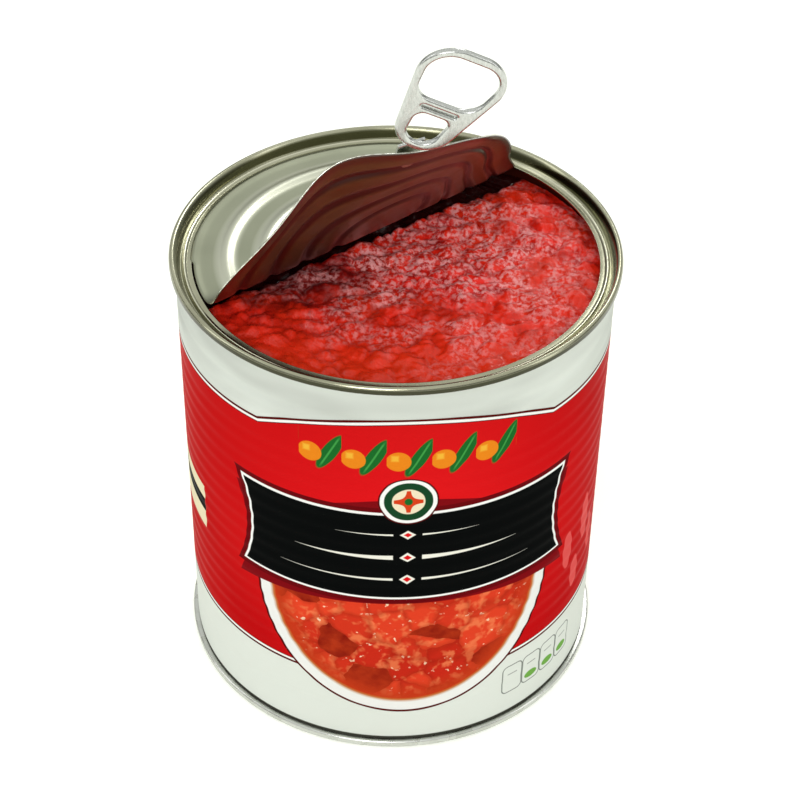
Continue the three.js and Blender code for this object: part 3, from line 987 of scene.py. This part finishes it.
# %% Pulp finish
pulp_finish, pulp_shader, pulp_place = new_finish(
    "wet_tomato_pulp", 0.35, 0.0, coat=0.22, coat_roughness=0.06)
pulp_shader.inputs["Specular IOR Level"].default_value = 0.2
pulp_shader.inputs["Subsurface Weight"].default_value = 0.12
pulp_shader.inputs["Subsurface Radius"].default_value = (1.0, 0.2, 0.1)
pulp_shader.inputs["Subsurface Scale"].default_value = 2.5 * MM
pulp_x, pulp_y, _ = split(pulp_place)
shreds = noise_of(pulp_place, 1.7, 3.0, 0.6)
bits = noise_of(pulp_place, 6.0, 3.0, 0.6)
broad = noise_of(pulp_place, 24.0, 2.0)
from_fold = pulp_x * math.sin(FOLD_TURN) - pulp_y * math.cos(FOLD_TURN)
pulp_tone = pulp_place.colour((0.48, 0.006, 0.004))
pulp_tone = pulp_tone.coloured(bits.above(0.46, 0.2), (0.92, 0.018, 0.008))
juicy = (broad.above(0.5, 0.2) * 0.5).most(pulp_y.below(-34, 40) * 0.7)
pulp_tone = pulp_tone.coloured(juicy, (0.74, 0.036, 0.006))
# Painted shade: a dark patch at the left of the pulp.
painted_left_shade = reach((pulp_x + 32) / 30, (pulp_y + 6) / 20) + bits * 1.2
pulp_tone = pulp_tone.coloured(painted_left_shade.below(1.35, 0.8) * 0.85, (0.11, 0.002, 0.002))
# Partly painted highlight: pink specks of flesh, gathered in a patch behind the middle where they catch
# the light.
clusters = noise_of(pulp_place, 15.0, 1.0).above(0.47, 0.14)
from_glint_patch = reach(pulp_x - 16, pulp_y - 8)
glint_zone = clusters.most(from_glint_patch.below(26, 16) * 0.8) * from_glint_patch.below(52, 50)
shreds_and_glints = shreds.above(0.52, 0.16) * glint_zone
pulp_tone = pulp_tone.coloured(shreds_and_glints * 0.85, (0.98, 0.42, 0.42))
along = pulp_x * math.cos(FOLD_TURN) + pulp_y * math.sin(FOLD_TURN)
# Painted shade: nearly black in the crevice under the lid, over the real drop in level.
ragged = from_fold + bits * 6.0 - along / CREVICE_SLANT
pulp_tone = pulp_tone.coloured(ragged.below(-15.2, 2.5), (0.028, 0.0012, 0.001))
# Painted highlight: a thin pale line stands for light on the wet edge in the crevice.
from_line = (from_fold + broad * 4.0 + 18.0 - along / CREVICE_SLANT).size()
painted_wet_glint = from_line.below(0.35, 0.2) * bits.above(0.54, 0.05)
pulp_tone = pulp_tone.coloured(painted_wet_glint, (0.95, 0.86, 0.80))
give(pulp_shader, "Base Color", pulp_tone)
give(pulp_shader, "Roughness", 0.20 + shreds * 0.3)
bumped(pulp_shader, shreds + bits * 0.8, 0.8, 0.6)
chopped_tomatoes.data.materials.append(pulp_finish)
print("pulp nodes:", len(pulp_finish.node_tree.nodes))

# %% [markdown]
# ## Floor
# The picture has a plain pale ground, so a large sheet is the floor. It glows a little by itself,
# which keeps it pale out to the corners of the picture. It is only part of the stage.

# %% Floor
FLOOR_HALF = 6
floor_bm = bmesh.new()
bmesh.ops.create_grid(floor_bm, x_segments=1, y_segments=1, size=FLOOR_HALF)
floor_mesh = bpy.data.meshes.new("floor")
floor_bm.to_mesh(floor_mesh)
floor_bm.free()
floor = bpy.data.objects.new("floor", floor_mesh)
bpy.context.scene.collection.objects.link(floor)
floor_finish, floor_shader, _ = new_finish("pale_floor", 0.9, 0.0)
floor_shader.inputs["Base Color"].default_value = (0.90, 0.91, 0.86, 1)
floor_shader.inputs["Emission Color"].default_value = (0.98, 1.0, 0.93, 1)
floor_shader.inputs["Emission Strength"].default_value = 0.32
floor.data.materials.append(floor_finish)
print("floor is", 2 * FLOOR_HALF, "m wide")

# %% [markdown]
# ## Light
# The tin stands in soft studio light. One wide lamp in front lights the print, a smaller one behind
# gives the pulp its wet lights, and two tall ones at the sides draw the edges. The world is dark near
# the ground and pale above, so that round metal shows both.


# %% Lamps and world
def soft_lamp(name, place, target, size, power):
    lamp = bpy.data.lights.new(name, "AREA")
    lamp.shape = "RECTANGLE"
    lamp.size, lamp.size_y = size
    lamp.energy = power
    holder = bpy.data.objects.new(name, lamp)
    holder.location = place
    holder.rotation_euler = (Vector(target) - Vector(place)).to_track_quat("-Z", "Y").to_euler()
    bpy.context.scene.collection.objects.link(holder)


middle_point = (0, 0, 0.1)
soft_lamp("front_lamp", (-0.35, -1.35, 1.0), middle_point, (0.6, 0.6), 7)
soft_lamp("right_lamp", (1.3, -0.5, 0.6), middle_point, (0.3, 1.2), 2)
soft_lamp("back_lamp", (0.42, 1.10, 1.12), (0, 0, 0.17), (0.35, 0.25), 2.6)
soft_lamp("left_lamp", (-1.3, 0.1, 0.8), middle_point, (0.3, 1.2), 2)
world = bpy.data.worlds.new("studio")
bpy.context.scene.world = world
world.use_nodes = True
background = world.node_tree.nodes["Background"]
background.inputs[0].default_value = (0.98, 1.0, 0.96, 1)
sky = Paint(world.node_tree, world.node_tree.nodes.new("ShaderNodeTexCoord").outputs["Generated"])
sky_up = split(sky)[2]
fade = {0: sky_up, 1: 0.02, 2: 0.5, 3: 0.10, 4: 0.85}
sky_light = sky_up.node("ShaderNodeMapRange", {"clamp": True}, fade)
world.node_tree.links.new(sky_light.socket, background.inputs[1])
